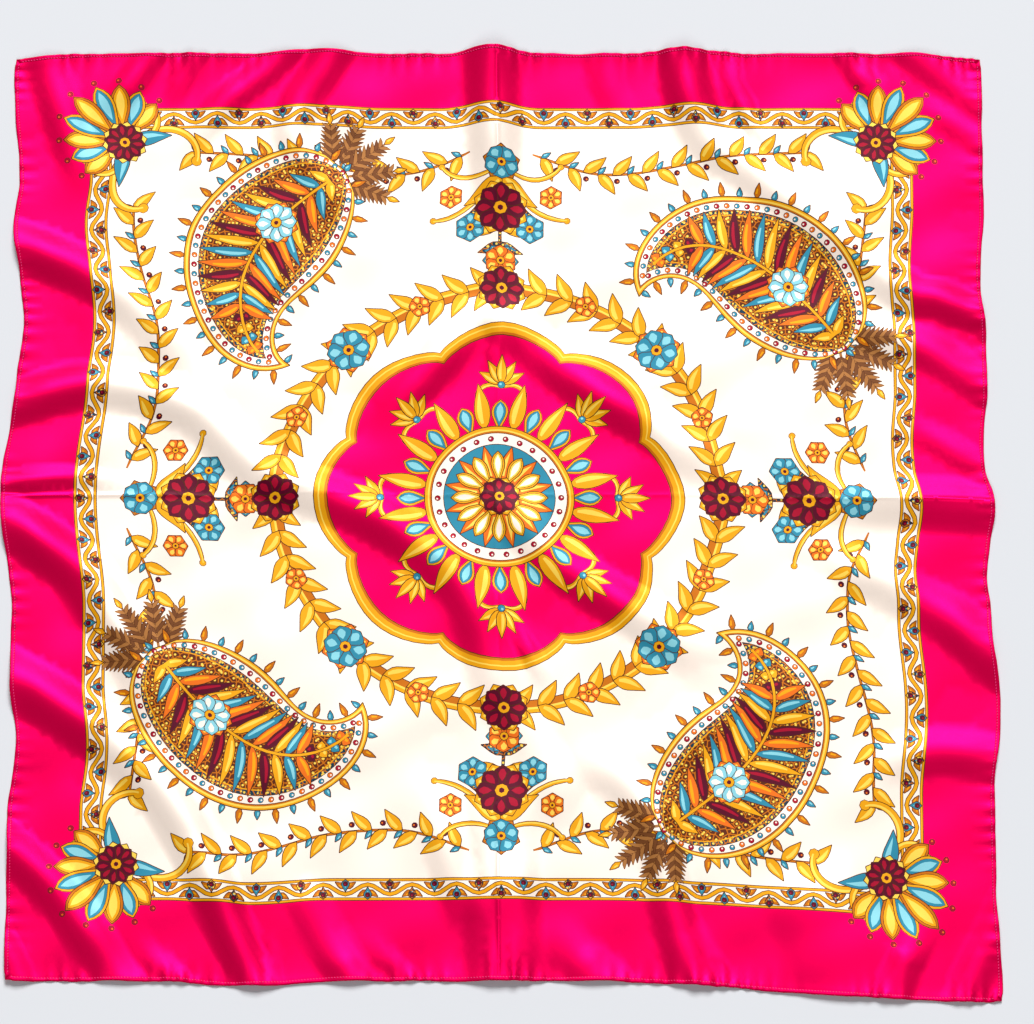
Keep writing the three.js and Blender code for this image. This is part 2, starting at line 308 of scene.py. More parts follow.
# The print is a flat drawing in millimetres on the ironed cloth: outlines and dyes, later ones on top
dyes = dict(  # red, green and blue from 0 to 255
    pink=(246, 0, 78), cream=(255, 238, 224), brown=(78, 36, 12), umber=(92, 38, 16),
    gold=(236, 162, 16), lightGold=(252, 210, 84), deepGold=(198, 108, 12), orange=(232, 110, 24),
    teal=(46, 134, 160), paleTeal=(136, 204, 216), slate=(22, 56, 74), wine=(86, 4, 34),
    red=(166, 8, 44), tan=(170, 112, 58), bark=(116, 68, 34),
    backPink=(244, 120, 160), backCream=(250, 240, 232), backGold=(242, 222, 176),
)
layout = dict(
    middle=(0.0, 11.0),           # the print sits a little off the middle of the cloth
    bandOuter=388.0, bandInner=368.0,
    wave=40.0, waveHigh=4.6,      # the ribbon in the band
    wreath=205.0, wreathLeaves=52,
    ground=157.0,                 # the pink ground in the middle
    outline=0.8,
    netted=("umber", "slate"),    # dark grounds under a fine gold net
    tolerance=0.22,               # how closely the drawn outlines are kept
    longest=6.0,                  # longest edge of one, because the cloth bends under it
)


# An outline around a spine with half widths, narrower by inset, pointed where it has no width
def bladeAround(spine, widths, inset=0.0):
    w = widths - inset
    inside = np.nonzero(w > 0.02)[0]
    if len(inside) < 2:
        return None
    run = np.gradient(spine, axis=0)
    run /= np.linalg.norm(run, axis=1)[:, None]
    first, last = inside[0], inside[-1]
    kept, side = spine[first:last + 1].copy(), w[first:last + 1].copy()
    tips = []
    for end, beyond, grow in ((first, first - 1, -1), (last, last + 1, 1)):
        if 0 <= beyond < len(w):
            part = w[end] / (w[end] - w[beyond])
            tips.append([spine[end] + (spine[beyond] - spine[end]) * part])
        else:
            k = 0 if grow < 0 else -1
            tips.append(np.zeros((0, 2)))
            if inset < 0:
                kept[k] = kept[k] - grow * run[end] * inset
                side[k] *= 0.6
    normal = np.stack([-run[first:last + 1, 1], run[first:last + 1, 0]], 1) * side[:, None]
    return np.concatenate([tips[0], kept - normal, tips[1], (kept + normal)[::-1]])


def nested(spine, widths, layers):
    drawn = [(bladeAround(spine, widths, inset), dye) for inset, dye in layers]
    return [(points, dye) for points, dye in drawn if points is not None]


# The lit half of a leaf or petal, from its spine to one edge
def litHalf(spine, widths, inset, dye):
    w = widths - inset
    inside = np.nonzero(w > 0.1)[0]
    if len(inside) < 2:
        return []
    run = np.gradient(spine, axis=0)
    run /= np.linalg.norm(run, axis=1)[:, None]
    side = np.stack([-run[:, 1], run[:, 0]], 1) * w[:, None]
    return [(np.concatenate([spine[inside], (spine + side)[inside][::-1]]), dye)]


# As few points as the length of a leaf or petal needs
def stepsFor(long):
    return int(np.clip(round(long / 5) + 1, 4, 8))


def leaf(long, wide, bend=0.0, dye="gold", light="lightGold", peak=0.4):
    t = np.linspace(0, 1, stepsFor(long))
    spine = np.stack([long * t, bend * long * t * t], 1)
    widths = wide / 2 * np.sin(math.pi * t ** (math.log(0.5) / math.log(peak)))
    drawn = nested(spine, widths, [(-layout["outline"], "brown"), (0, dye)])
    return drawn + litHalf(spine, widths, 0.16 * wide, light)


def petal(long, wide, dye, light, start=0.0, rim=None):
    t = np.linspace(0, 1, stepsFor(long - start) + 1) ** 0.85
    spine = np.stack([start + (long - start) * t, 0 * t], 1)
    widths = wide / 2 * np.sin(math.pi * t ** 1.5) ** 0.75
    layers = [(-layout["outline"], "brown"), (0, rim or dye)]
    if rim:
        layers += [(0.11 * wide, "brown"), (0.11 * wide + 0.5, dye)]
    return nested(spine, widths, layers + [(0.28 * wide, light)])


def disc(radius, dye, x=0.0, y=0.0, corners=10):
    turn = np.arange(corners) * math.tau / corners
    return [(np.stack([x + radius * np.cos(turn), y + radius * np.sin(turn)], 1), dye)]


def bead(radius, dye, light=None, x=0.0, y=0.0):
    drawn = disc(radius + 0.6, "brown", x, y, 8) + disc(radius, dye, x, y, 8)
    if light:
        drawn += disc(0.42 * radius, light, x + 0.2 * radius, y + 0.25 * radius, 5)
    return drawn


def placed(motif, x=0.0, y=0.0, turn=0.0):
    c, s = math.cos(math.radians(turn)), math.sin(math.radians(turn))
    return [(np.stack([x + c * p[:, 0] - s * p[:, 1], y + s * p[:, 0] + c * p[:, 1]], 1), dye)
            for p, dye in motif]


def mirrored(motif):
    return [((p * [-1, 1])[::-1], dye) for p, dye in motif]


def ringOf(count, motif, radius=0.0, first=0.0):
    drawn = []
    for k in range(count):
        turn = first + 360 * k / count
        a = math.radians(turn)
        drawn += placed(motif, radius * math.cos(a), radius * math.sin(a), turn)
    return drawn


def flower(radius, count, dye, light, heart="gold", seed="wine", behind=None):
    drawn = []
    if behind:
        drawn += ringOf(count, petal(radius * 1.1, radius * 0.62, behind, "lightGold", 0.2 * radius),
                        first=180 / count)
    drawn += ringOf(count, petal(radius, radius * 5.6 / count, dye, light, 0.12 * radius))
    return drawn + bead(0.26 * radius, heart) + disc(0.12 * radius, seed, corners=6)


# A spine that starts straight and turns by curl, in radians
def curlSpine(long, curl, power, steps):
    t = np.linspace(0, 1, steps)
    heading = curl * t ** power
    step = long / (steps - 1)
    run = np.stack([np.cos(heading), np.sin(heading)], 1)[1:] * step
    return t, np.concatenate([[[0, 0]], np.cumsum(run, 0)])


def scroll(long, wide, curl, dye="gold", light="lightGold", ball=0.85):
    t, spine = curlSpine(long, curl, 1.6, 18)
    widths = wide / 2 * (0.25 + 0.9 * np.sin(math.pi * (0.08 + 0.72 * t)))
    drawn = nested(spine, widths, [(-0.7, "brown")]) + bead(wide * ball, dye, None, *spine[-1])
    return drawn + nested(spine, widths, [(0, dye)]) + litHalf(spine, widths, 0.12 * wide, light)


# Places every pitch along a line: x, y, heading in degrees and number
def placesAlong(line, pitch, start=0.0):
    run = np.concatenate([[0], np.cumsum(np.linalg.norm(np.diff(line, axis=0), axis=1))])
    at = np.arange(start, run[-1], pitch)
    ahead = np.minimum(at + 1, run[-1])
    x, y = np.interp(at, run, line[:, 0]), np.interp(at, run, line[:, 1])
    dx = np.interp(ahead, run, line[:, 0]) - np.interp(ahead - 2, run, line[:, 0])
    dy = np.interp(ahead, run, line[:, 1]) - np.interp(ahead - 2, run, line[:, 1])
    return [(x[k], y[k], math.degrees(math.atan2(dy[k], dx[k])), k) for k in range(len(at))]


def placesAround(outline, count):
    loop = np.vstack([outline, outline[:1]])
    around = float(np.linalg.norm(np.diff(loop, axis=0), axis=1).sum())
    return placesAlong(loop, around / count)[:count]


def vine(line, pitch, long, wide, berry):
    drawn = nested(line, np.full(len(line), 0.9), [(-0.5, "brown"), (0, "deepGold")])
    for x, y, turn, k in placesAlong(line, pitch, pitch * 0.6):
        side = 1 if k % 2 else -1
        drawn += placed(leaf(long, wide, 0.16 * side), x, y, turn + 38 * side)
        if k % 2:
            drawn += placed(bead(2.4, berry, "orange", 7.5), x, y, turn - 60 * side)
        else:
            drawn += placed(leaf(10, 4.6, 0, "teal", "paleTeal"), x, y, turn - 50 * side)
    return drawn


paisley = dict(
    long=258.0, wide=132.0, curl=2.35, belly=0.34,
    at=(323, 148), turn=127,
    rays=38,
    rims=[(-1.0, "brown"), (0, "gold"), (1.5, "lightGold"), (3.4, "deepGold"), (4.8, "brown"),
          (5.5, "cream"), (13.2, "brown"), (13.9, "slate"), (18.4, "gold"), (19.6, "umber")],
    leaves=[("gold", "lightGold"), ("teal", "paleTeal"), ("orange", "gold"), ("wine", "red")],
)


def paisleyMotif():
    steps = 46
    t, spine = curlSpine(paisley["long"], paisley["curl"], 2.4, steps)
    belly = paisley["belly"]
    rounded = np.sqrt(np.maximum(0, 1 - ((belly - t) / belly) ** 2))
    tapered = np.maximum(0, np.cos(math.pi / 2 * (t - belly) / (1 - belly))) ** 1.05
    widths = paisley["wide"] / 2 * np.where(t < belly, rounded, tapered)
    drawn = []
    for turn in (-56, -28, 28, 56, 0):  # plumes behind the round end
        drawn += placed(plume(60 - 0.12 * abs(turn)), 12, 0, 180 + turn)
    for x, y, turn, k in placesAround(bladeAround(spine, widths, 1.0), paisley["rays"]):
        ray = leaf(15, 5.6, 0, "deepGold", "gold") if k % 2 else leaf(10, 5.2, 0, "teal", "paleTeal")
        drawn += placed(ray, x, y, turn - 90)
    drawn += nested(spine, widths, paisley["rims"])
    outline = bladeAround(spine, widths, 9.3)
    around = float(np.linalg.norm(np.diff(np.vstack([outline, outline[:1]]), axis=0), axis=1).sum())
    for x, y, turn, k in placesAround(outline, round(around / 9.6)):
        drawn += bead(2.3, ["red", "teal", "orange"][k % 3], "cream", x, y)
    for x, y, turn, k in placesAround(bladeAround(spine, widths, 16.2), round(around / 8.4)):
        drawn += disc(1.0, "lightGold", x, y, 6)
    stem = spine[3:41:2]
    fromStart = np.linalg.norm(spine - spine[0], axis=1)[:30]
    for x, y, turn, k in placesAlong(stem, 11.0, 0.0):
        far = math.hypot(x - spine[0, 0], y - spine[0, 1])
        room = float(np.interp(far, fromStart, widths[:30])) if k < 15 else 26.0
        long = max(9.0, 1.18 * (room - 21))
        dye, light = paisley["leaves"][k % 4]
        for side in (1, -1):
            drawn += placed(leaf(long, 9.0, 0.12 * side, dye, light), x, y, turn + 56 * side)
    drawn += nested(stem, np.full(len(stem), 1.2), [(-0.5, "brown"), (0, "gold")])
    return drawn + placed(flower(19, 8, "paleTeal", "cream", behind="orange"), *spine[14], 10)


def plume(long):
    stem = np.stack([np.linspace(0, long, 4), np.zeros(4)], 1)
    drawn = nested(stem, np.full(4, 1.0), [(-0.4, "brown"), (0, "tan")])
    t = np.linspace(0, 1, 4)
    for k in range(8):
        layers = [(-0.4, "brown"), (0.1, "tan" if k % 2 else "bark")]
        for side in (1, -1):
            barb = np.stack([17 * t, 4 * side * t * t], 1) * (1 - 0.06 * k)
            drawn += placed(nested(barb, np.array([0.8, 1.9, 1.5, 0.3]), layers),
                            long * (0.30 + 0.085 * k), 0, 32 * side)
    return drawn + placed(leaf(12, 5), long)


def bouquet():
    drawn = []
    for turn, long, curl in ((62, 62, 1.4), (-62, 62, -1.4), (28, 84, 1.0), (-28, 84, -1.0)):
        drawn += placed(scroll(long, 3.4, curl), 6, 0, turn)
    stem = splineThrough([(-4, 0), (30, 2), (66, 0), (98, 0)], 5)
    drawn += nested(stem, np.full(len(stem), 1.1), [(-0.6, "brown"), (0, "slate")])
    for at, turn, long in ((14, 34, 42), (34, 42, 38), (58, 46, 30), (80, 48, 22)):
        for side in (1, -1):
            green = "slate" if at in (34, 80) else "gold"
            lit = "teal" if at in (34, 80) else "lightGold"
            drawn += placed(leaf(long, long * 0.38, 0.3 * side, green, lit), at, 0, turn * side)
    for side in (1, -1):
        drawn += placed(flower(14, 6, "teal", "paleTeal"), 64, 28 * side)
        drawn += placed(flower(11, 6, "orange", "lightGold"), 32, 47 * side)
    drawn += placed(flower(24, 8, "wine", "red", behind="gold"), 46, 0)
    drawn += placed(flower(15, 6, "orange", "lightGold", behind="teal"), 98, 0)
    return drawn + placed(flower(16, 5, "teal", "paleTeal", behind="deepGold"), 2, 0)


def cornerPalmette():
    drawn = []
    for side in (1, -1):
        drawn += placed(scroll(84, 5.6, 2.5 * side), -6, 6 * side, 96 * side)
        drawn += placed(scroll(60, 4.6, -2.8 * side), -4, 4 * side, 128 * side)
        drawn += placed(leaf(40, 14, 0.2 * side, "teal", "paleTeal"), -4, 2 * side, 112 * side)
    for k in (4, -4, 3, -3, 2, -2, 1, -1, 0):
        reach = 64 * (1 - 0.055 * abs(k))
        dye, light, rim = ("teal", "paleTeal", "gold") if k % 2 else ("gold", "lightGold", "deepGold")
        drawn += placed(petal(reach, 18, dye, light, 10, rim), turn=21 * k)
        drawn += placed(bead(2.4, "red", "orange", reach + 4.5), turn=21 * k)
    return drawn + flower(19, 10, "wine", "red", behind="lightGold")


def lobed(radius, lobes=8, depth=0.10):
    turn = np.arange(192) * math.tau / 192
    r = radius * (1 - depth * (1 - np.abs(np.cos(lobes * turn / 2)) ** 0.8))
    return np.stack([r * np.cos(turn), r * np.sin(turn)], 1)


def middleGround():
    drawn = []
    for grow, dye in ((13.4, "brown"), (12.6, "gold"), (9.2, "lightGold"), (7.8, "gold"),
                      (3.4, "deepGold"), (1.0, "brown"), (0.2, "pink")):
        drawn += [(lobed(layout["ground"] + grow), dye)]
    small = []
    for side in (1, -1):
        small += placed(scroll(36, 3.4, 2.9 * side), -14, 0, 62 * side)
    for k in (2, -2, 1, -1, 0):
        small += placed(leaf(28 - 2 * abs(k), 9, 0.0), -10, 0, 30 * k)
    small += bead(3.4, "teal", "paleTeal", -11)
    drawn += ringOf(8, small, 120)
    drawn += ringOf(16, leaf(46, 14), 66, first=11.25)
    drawn += ringOf(16, petal(30, 15, "teal", "paleTeal", 0, "gold"), 64)
    for radius, dye in ((69, "brown"), (68.2, "gold"), (65.6, "lightGold"), (64, "deepGold"),
                        (62.4, "brown"), (61.7, "cream")):
        drawn += disc(radius, dye, corners=60)
    drawn += ringOf(26, bead(2.3, "red", "cream"), 56.5)
    drawn += disc(51.5, "brown", corners=48) + disc(50.8, "teal", corners=48)
    drawn += ringOf(12, leaf(34, 12, 0, "orange", "lightGold"), 16, first=15)
    drawn += ringOf(12, petal(31, 12, "lightGold", "cream", 0, "gold"), 13)
    return drawn + flower(18, 8, "wine", "red", behind="gold")


def bandSide():
    middle = (layout["bandOuter"] + layout["bandInner"]) / 2
    reach = layout["bandInner"]
    count = round(2 * reach / layout["wave"])
    x = np.linspace(-reach, reach, 8 * count + 1)
    y = middle - layout["waveHigh"] * np.cos((x + reach) / (2 * reach) * count * math.tau)
    drawn = nested(np.stack([x, y], 1), np.full(len(x), 1.5), [(-0.7, "brown"), (0, "gold")])
    for k in range(2 * count + 1):
        at, up = -reach + k * reach / count, 1 if k % 2 == 0 else -1
        dye = "teal" if k % 4 < 2 else "slate"
        for side in (1, -1):
            drawn += placed(leaf(10.5, 5, 0, "deepGold", "gold"), at, middle + up, 90 * up + 58 * side)
        drawn += placed(petal(10.5, 7, dye, "paleTeal"), at, middle - 1.6 * up, 90 * up)
        drawn += bead(2.1, "wine", "red", at, middle + 5.2 * up)
    return drawn


def square(e):
    return np.array([(-e, -e), (e, -e), (e, e), (-e, e)], float)


def wholePrint():
    drawn = []
    outer, inner = layout["bandOuter"], layout["bandInner"]
    for e, dye in ((outer + 0.8, "brown"), (outer, "gold"), (outer - 1.8, "brown"), (outer - 2.4, "cream"),
                   (inner + 2.4, "brown"), (inner + 1.8, "gold"), (inner, "brown"), (inner - 0.7, "cream")):
        drawn.append((square(e), dye))
    side = bandSide()
    swag = splineThrough([(30, 341), (90, 322), (160, 326), (228, 340), (292, 344)], 8)
    swags = vine(swag, 14.0, 25.0, 10.5, "wine")
    swags = swags + mirrored(swags)
    drop = placed(paisleyMotif(), *paisley["at"], paisley["turn"])
    spray = placed(bouquet(), 0, 330, -90)
    fan = placed(cornerPalmette(), 354, 354, 45)
    for quarter in range(4):
        drawn += placed(side + swags, turn=90 * quarter)
    for quarter in range(4):
        drawn += placed(drop + fan, turn=90 * quarter)
    for radius, dye in ((6.6, "brown"), (5.8, "gold"), (2.6, "lightGold"), (0.6, "deepGold"),
                        (-5.8, "brown"), (-6.6, "cream")):
        drawn += disc(layout["wreath"] + radius, dye, corners=120)
    for side in (1, -1):
        sprig = placed(leaf(29, 12.5, 0.22 * side), 0, 0, 90 + 34 * side)
        drawn += ringOf(layout["wreathLeaves"], sprig, layout["wreath"], first=2)
    for quarter in range(4):
        drawn += placed(spray, turn=90 * quarter)
    drawn += ringOf(4, flower(21, 8, "wine", "red", behind="gold"), layout["wreath"])
    drawn += ringOf(4, flower(20, 6, "teal", "paleTeal", behind="orange"), layout["wreath"], first=45)
    drawn += ringOf(8, flower(10, 5, "orange", "lightGold"), layout["wreath"], first=22.5)
    return placed(drawn + middleGround(), *layout["middle"])


# Drops points that lie on the line between their neighbours, and turns every outline the same way round
def tidied(points):
    for skip in (1, 0, 1):
        if len(points) < 7:
            break
        before, after = np.roll(points, 1, 0), np.roll(points, -1, 0)
        d = after - before
        off = np.abs(d[:, 0] * (points - before)[:, 1] - d[:, 1] * (points - before)[:, 0])
        straight = off < layout["tolerance"] * np.maximum(np.linalg.norm(d, axis=1), 1e-6)
        straight[1 - skip::2] = False
        straight[-1] = False
        points = points[~straight]
    x, y = points[:, 0], points[:, 1]
    area = np.sum(x * np.roll(y, -1) - np.roll(x, -1) * y)
    return points if area > 0 else points[::-1]


# Long edges are divided too, because the cloth bends under them
def divided(points, longest):
    after = np.roll(points, -1, 0)
    parts = np.maximum(1, np.ceil(np.linalg.norm(after - points, axis=1) / longest)).astype(int)
    if parts.max() == 1:
        return points
    rows = []
    for p, q, count in zip(points, after, parts):
        rows.append(p + (q - p) * (np.arange(count) / count)[:, None])
    return np.concatenate(rows)


def latticePoints(pitch, reach):
    rise = pitch * math.sqrt(3) / 2
    rows = []
    for k in range(int(2 * reach / rise) + 1):
        a = np.arange(-reach + pitch / 2 * (k % 2), reach, pitch)
        rows.append(np.stack([a, np.full(len(a), -reach + k * rise)], 1))
    return np.concatenate(rows)


def fromEdge(points):
    return half - np.abs(points).max(axis=1)


def onFold(points):
    x, y = laidPoint(*points.T)
    return sum(foldLift(fold, x, y) for fold in folds) > 0.02


rimRun = np.linspace(-half, half, round(cloth["face"] / cloth["rim"]) + 1)[:-1]
rimPoints = np.concatenate([np.stack([rimRun, np.full(len(rimRun), -half)], 1),
                            np.stack([np.full(len(rimRun), half), rimRun], 1),
                            np.stack([-rimRun, np.full(len(rimRun), half)], 1),
                            np.stack([np.full(len(rimRun), -half), -rimRun], 1)])


def clearOf(points, taken, reach):
    cells = set()
    step = reach / 1.5
    spots = np.floor(taken / step).astype(int)
    for di in (-1, 0, 1):
        for dj in (-1, 0, 1):
            cells.update(map(tuple, spots + (di, dj)))
    free = [tuple(spot) not in cells for spot in np.floor(points / step).astype(int)]
    return points[np.array(free)]


# Triangles between all points, with the number of the last outline drawn over each, or -1
def triangulated(outlines, lines, loose):
    corners = [Vector(p) for p in np.concatenate([points for points, dye in outlines] + [loose])]
    faces, start = [], 0
    for points, dye in outlines:
        faces.append(list(range(start, start + len(points))))
        start += len(points)
    flat, edges, triangles, *origins = delaunay_2d_cdt(corners, lines, faces, 0, 1e-6, bool(outlines))
    over = [max(numbers, default=-1) for numbers in origins[2]] if outlines else []
    return np.array([(p.x, p.y) for p in flat]), np.array(triangles), np.array(over)


# Only the lines between two dyes that show are kept, with few points on them
def visibleLines(flat, triangles, dyed):
    sides = np.concatenate([triangles[:, [0, 1]], triangles[:, [1, 2]], triangles[:, [2, 0]]])
    sides = np.sort(sides, axis=1)
    key = sides[:, 0] * len(flat) + sides[:, 1]
    order = np.argsort(key, kind="stable")
    pair = np.nonzero(key[order][1:] == key[order][:-1])[0]
    first, second = order[pair], order[pair + 1]
    count = len(triangles)
    shows = dyed[first % count] != dyed[second % count]
    joined = [set() for k in range(len(flat))]
    for p, q in sides[first[shows]].tolist():
        joined[p].add(q)
        joined[q].add(p)
    places = flat.tolist()
    for tries in range(4):
        kept = set()
        for v in range(len(joined)):
            if len(joined[v]) != 2 or v in kept:
                continue
            p, q = joined[v]
            (px, py), (qx, qy), (vx, vy) = places[p], places[q], places[v]
            long = math.hypot(qx - px, qy - py)
            off = abs((qx - px) * (vy - py) - (qy - py) * (vx - px)) / max(long, 1e-6)
            if long < layout["longest"] and off < layout["tolerance"] and q not in joined[p]:
                for end, other in ((p, q), (q, p)):
                    joined[end].discard(v)
                    joined[end].add(other)
                joined[v].clear()
                kept.update((p, q))
    used = [v for v in range(len(joined)) if joined[v]]
    number = {v: k for k, v in enumerate(used)}
    lines = [(number[p], number[q]) for p in used for q in joined[p] if p < q]
    return flat[used], lines


# The points on the edge of the cloth, in order around it
def rimOrder(flat):
    onRim = np.nonzero(fromEdge(flat) < 1e-3)[0]
    a, b = flat[onRim, 0], flat[onRim, 1]
    around = np.where(b < -half + 1e-3, a, np.where(a > half - 1e-3, 2 * half + b,
                      np.where(b > half - 1e-3, 4 * half - a, 6 * half - b)))
    return onRim[np.argsort(around)]


def buildSheet():
    outlines = [(divided(tidied(points), layout["longest"]), dye) for points, dye in wholePrint()]
    drawnFlat, drawnTriangles, over = triangulated(outlines, [], rimPoints[::20])
    dyeNames = list(dyes)
    drawnDye = np.array([dyeNames.index(dye) for points, dye in outlines] + [dyeNames.index("pink")])[over]
    linePoints, lines = visibleLines(drawnFlat, drawnTriangles, drawnDye)
    print(len(linePoints), "points on the lines of the print")
    within = latticePoints(cloth["lattice"], half)
    within = within[fromEdge(within) > cloth["hemReach"]]
    nearHem = latticePoints(cloth["hemLattice"], half)
    nearHem = nearHem[(fromEdge(nearHem) <= cloth["hemReach"]) & (fromEdge(nearHem) > 1.6)]
    loose = clearOf(np.concatenate([within, nearHem]), linePoints, cloth["clear"])
    run = np.arange(-half + 3, half - 3, cloth["creaseStep"])
    rows = []
    for off in cloth["creaseRows"]:
        rows.append(np.stack([run, np.full(len(run), surface["ridgeAcross"] + off)], 1))
        rows.append(np.stack([np.full(len(run), surface["ridgeDown"] + off), run], 1))
    rows = np.concatenate(rows)
    loose = np.concatenate([clearOf(loose, rows, 2.0), rows, rimPoints])
    flat, triangles, over = triangulated([], lines, np.concatenate([linePoints, loose]))
    finder = BVHTree.FromPolygons([(x, y, 0) for x, y in drawnFlat.tolist()], drawnTriangles.tolist())
    dyeOf = []
    for x, y in flat[triangles].mean(axis=1).tolist():
        place, normal, number, distance = finder.ray_cast(Vector((x, y, 1)), Vector((0, 0, -1)))
        dyeOf.append("pink" if number is None else dyeNames[drawnDye[number]])
    print(f"face of the cloth: {len(outlines)} outlines, {len(flat)} points, {len(triangles)} triangles")

    backOutlines = [(divided(outline + layout["middle"], cloth["backLongest"]), dye) for outline, dye in (
        (square(layout["bandOuter"]), "backGold"), (square(layout["bandInner"]), "backCream"),
        (lobed(layout["ground"])[::3], "backPink"))]
    backPoints = np.concatenate([points for points, dye in backOutlines])
    folded, level = (latticePoints(pitch, half) for pitch in cloth["backLattice"])
    folded = folded[(fromEdge(folded) > 3.0) & onFold(folded)]
    level = clearOf(level[(fromEdge(level) > 6.0) & ~onFold(level)], folded, 4.0)
    backLoose = np.concatenate([clearOf(np.concatenate([folded, level]), backPoints, 2.5), rimPoints])
    backFlat, backTriangles, over = triangulated(backOutlines, [], backLoose)
    backDyeOf = [backOutlines[k][1] if k >= 0 else "backPink" for k in over]
    print(f"back of the cloth: {len(backFlat)} points, {len(backTriangles)} triangles")

    front = clothPoint(*flat.T)
    front[:, 2] += cloth["thick"]
    back = underPoint(*backFlat.T)
    normals = np.concatenate([clothNormal(*flat.T), -clothNormal(*backFlat.T)])

    count = len(flat)
    outer, inner = rimOrder(flat), rimOrder(backFlat) + count
    outerNext, innerNext = np.roll(outer, -1), np.roll(inner, -1)
    rimTriangles = np.concatenate([np.stack([outer, inner, innerNext], 1),
                                   np.stack([outer, innerNext, outerNext], 1)])
    faces = np.concatenate([triangles, backTriangles[:, ::-1] + count, rimTriangles])
    mesh = bpy.data.meshes.new("scarfCloth")
    mesh.from_pydata((np.concatenate([front, back]) * mm).tolist(), [], faces.tolist())
    dyeOf = dyeOf + backDyeOf + ["pink"] * len(rimTriangles)
    colours = np.array([(*dyes[dye], 255) for dye in dyeOf]) / 255
    dyeLayer = mesh.color_attributes.new("dye", "BYTE_COLOR", "CORNER")
    dyeLayer.data.foreach_set("color_srgb", np.repeat(colours, 3, axis=0).ravel())
    netLayer = mesh.attributes.new("net", "FLOAT", "FACE")
    netLayer.data.foreach_set("value", [1.0 if dye in layout["netted"] else 0.0 for dye in dyeOf])
    plane = np.concatenate([(flat / cloth["face"] + 0.5) * 0.93,
                            (backFlat / cloth["face"] + 0.5) * (0.055, 0.93) + (0.94, 0)])
    uvLayer = mesh.uv_layers.new(name="OFBake")
    uvLayer.data.foreach_set("uv", plane[faces.ravel()].ravel())
    finishOf = [0 if dye == "pink" else 1 for dye in dyeOf[:len(triangles)]] + [2] * len(backTriangles)
    mesh.polygons.foreach_set("material_index", finishOf + [0] * len(rimTriangles))
    mesh.polygons.foreach_set("use_smooth", [True] * len(faces))
    mesh.normals_split_custom_set_from_vertices(normals.tolist())
    mesh.update()
    sheet = bpy.data.objects.new("scarf_cloth", mesh)
    bpy.context.scene.collection.objects.link(sheet)
    return sheet


scarfCloth = buildSheet()

# The edge of the cloth, turned twice and stitched: outwards and up from the edge of the cloth's underside
hem = dict(
    pitch=1.35,
    section=[(-0.3, 0.5), (0.15, 0.72), (0.8, 0.8), (1.6, 0.9), (2.5, 0.92),
             (3.2, 0.75), (3.7, 0.45), (3.75, 0.2), (3.2, 0.02), (-0.3, 0.0)],
    dip=[0.0, 0.08, 0.12, 0.06, 0.03, 0.0, 0.0, 0.0, 0.0, 0.0],  # how far a stitch pulls it down
    uneven=0.22,      # how much its width varies
    stitch=2.7, stitchAt=(0.45, 0.8),
)
hemRuns = dict(  # the ironed cloth's edges, each run with the cloth on its left
    front=lambda run: (run, np.full(len(run), -half)),
    right=lambda run: (np.full(len(run), half), run),
    back=lambda run: (-run, np.full(len(run), half)),
    left=lambda run: (np.full(len(run), -half), -run),
)


def hemFrames(side, pitch):
    run = np.linspace(-half, half, round(cloth["face"] / pitch) + 1)
    edge = clothPoint(*hemRuns[side](run))
    ahead = np.gradient(edge, axis=0)
    ahead[:, 2] = 0
    ahead /= np.linalg.norm(ahead, axis=1)[:, None]
    outward = np.stack([ahead[:, 1], -ahead[:, 0], 0 * run], 1)
    return run, edge, ahead, outward


hemFrame = {side: hemFrames(side, hem["pitch"]) for side in hemRuns}


def buildHem(side):
    run, edge, ahead, outward = hemFrame[side]
    mitred = outward.copy()
    order = list(hemRuns)
    before, after = order[order.index(side) - 1], order[(order.index(side) + 1) % 4]
    for end, beside in ((0, hemFrame[before][3][-1]), (-1, hemFrame[after][3][0])):
        mitred[end] = (outward[end] + beside) / (1 + outward[end] @ beside)
    section, count = np.array(hem["section"]), len(hem["section"])
    wide = 1 + hem["uneven"] * 0.5 * (np.sin(run / 9.1) + np.sin(run / 23.7 + 2)) * (np.abs(run) < half - 4)
    out = np.where(section[:, 0] > 1, section[:, 0] * wide[:, None], section[:, 0])
    out = np.minimum(out, 3.9)
    up = section[:, 1] - np.array(hem["dip"]) * (np.arange(len(run)) % 2)[:, None]
    points = edge[:, None, :] + out[:, :, None] * mitred[:, None, :]
    points[:, :, 2] += up
    faces = []
    for k in range(len(run) - 1):
        for c in range(count):
            p, q = k * count + c, k * count + (c + 1) % count
            faces.append((p, q, q + count, p + count))
    last = (len(run) - 1) * count
    faces.append(tuple(range(count - 1, -1, -1)))
    faces.append(tuple(range(last, last + count)))
    mesh = bpy.data.meshes.new("hem")
    mesh.from_pydata((points.reshape(-1, 3) * mm).tolist(), [], faces)
    mesh.polygons.foreach_set("use_smooth", [True] * (len(faces) - 2) + [False] * 2)
    piece = bpy.data.objects.new("hem_roll_" + side, mesh)
    bpy.context.scene.collection.objects.link(piece)
    return piece


